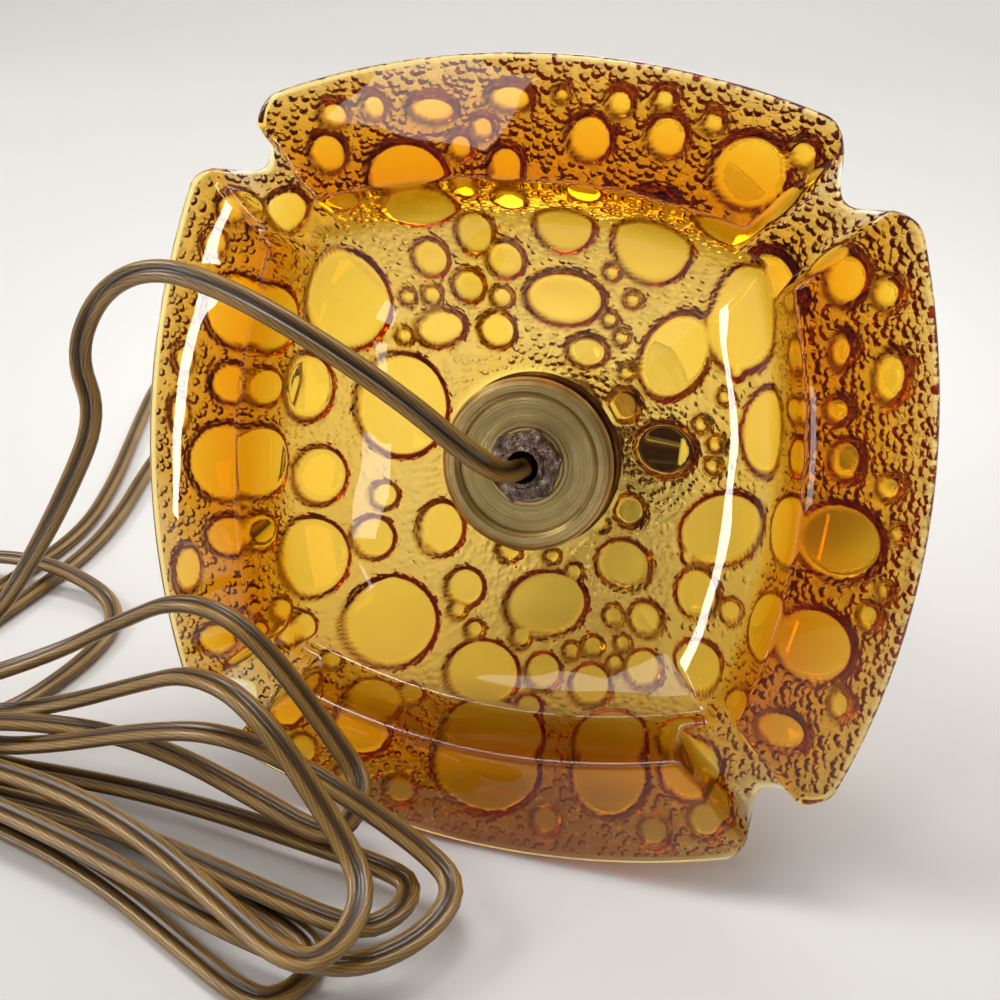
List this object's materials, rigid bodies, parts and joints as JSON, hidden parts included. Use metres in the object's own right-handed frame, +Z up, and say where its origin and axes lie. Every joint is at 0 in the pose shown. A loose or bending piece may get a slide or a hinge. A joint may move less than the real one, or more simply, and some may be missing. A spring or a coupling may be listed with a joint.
{
  "type": "accent lamp",
  "caption": "Table accent lamp with a heavy pressed amber glass foot, brass neck, turn-switch lamp holder, bulb and loose flat cord with plug, lying on its side.",
  "frame": {"origin": "on the floor under the middle of the lamp's box, measured without the cord and plug, as it lies in the picture", "axes": "+Z is up, -Y is towards the underside of the foot, which faces the viewer, and +X is to the viewer's right; the lamp's own axis runs from the foot towards +Y and down by 19.8 degrees"},
  "size_m": [0.3067, 0.2934, 0.1659],
  "materials": {
    "amber_glass": "pressed, clear and glossy",
    "felt": "felt",
    "aged_brass": "lacquered and darkened",
    "aged_steel": "darkened",
    "fibre": "pressed fibre",
    "brown_bakelite": "moulded, glossy",
    "contact_brass": "bright",
    "solder": "dull",
    "black_glass": "glossy",
    "cap_aluminium": "satin",
    "bulb_glass": "clear",
    "filament_wire": "drawn",
    "cord_insulation": "translucent brown, glossy",
    "plug_moulding": "moulded brown"
  },
  "bodies": {
    "lamp": {"glass_foot": "amber_glass", "lower_cushion_washer": "felt", "upper_cushion_washer": "felt", "lower_check_ring": "aged_brass", "hex_locknut": "aged_steel", "threaded_nipple": "aged_steel", "vase_cap": "aged_brass", "neck_spindle": "aged_brass", "socket_cap": "aged_brass", "cap_set_screw": "aged_steel", "socket_shell": "aged_brass", "fibre_liner": "fibre", "socket_body": "brown_bakelite", "terminal_screws": "contact_brass", "screw_shell": "contact_brass", "centre_contact": "contact_brass", "hot_lead": "cord_insulation", "neutral_lead": "cord_insulation", "cord_in_nipple": "cord_insulation", "cord_to_floor": "cord_insulation", "cord_hank": "cord_insulation", "cord_to_plug": "cord_insulation", "plug_body": "plug_moulding", "plug_blades": "contact_brass"},
    "switch": {"switch_rotor": "brown_bakelite", "switch_spindle": "contact_brass", "switch_knob": "brown_bakelite"},
    "bulb_carriage": {"bulb_contact": "solder", "bulb_insulator": "black_glass"},
    "bulb": {"bulb_cap": "cap_aluminium", "bulb_globe": "bulb_glass", "bulb_stem": "bulb_glass", "bulb_filament": "filament_wire"}
  },
  "joints": [
    {"name": "switch_turn", "type": "hinge", "parent": "lamp", "child": "switch", "pos_m": [0, -0.00692, 0.05903], "axis": [1, 0, 0], "continuous": true},
    {"name": "bulb_lift", "type": "slide", "parent": "lamp", "child": "bulb_carriage", "axis": [0, 0.9407, -0.3393], "range_m": [0, 0.0109]},
    {"name": "bulb_turn", "type": "hinge", "parent": "bulb_carriage", "child": "bulb", "pos_m": [0, 0.00348, 0.05528], "axis": [0, 0.9407, -0.3393], "range_deg": [0, 1080]}
  ],
  "couplings": [
    {"joint": "bulb_lift", "follows": "bulb_turn", "m_per_rad": 0.00057757}
  ]
}
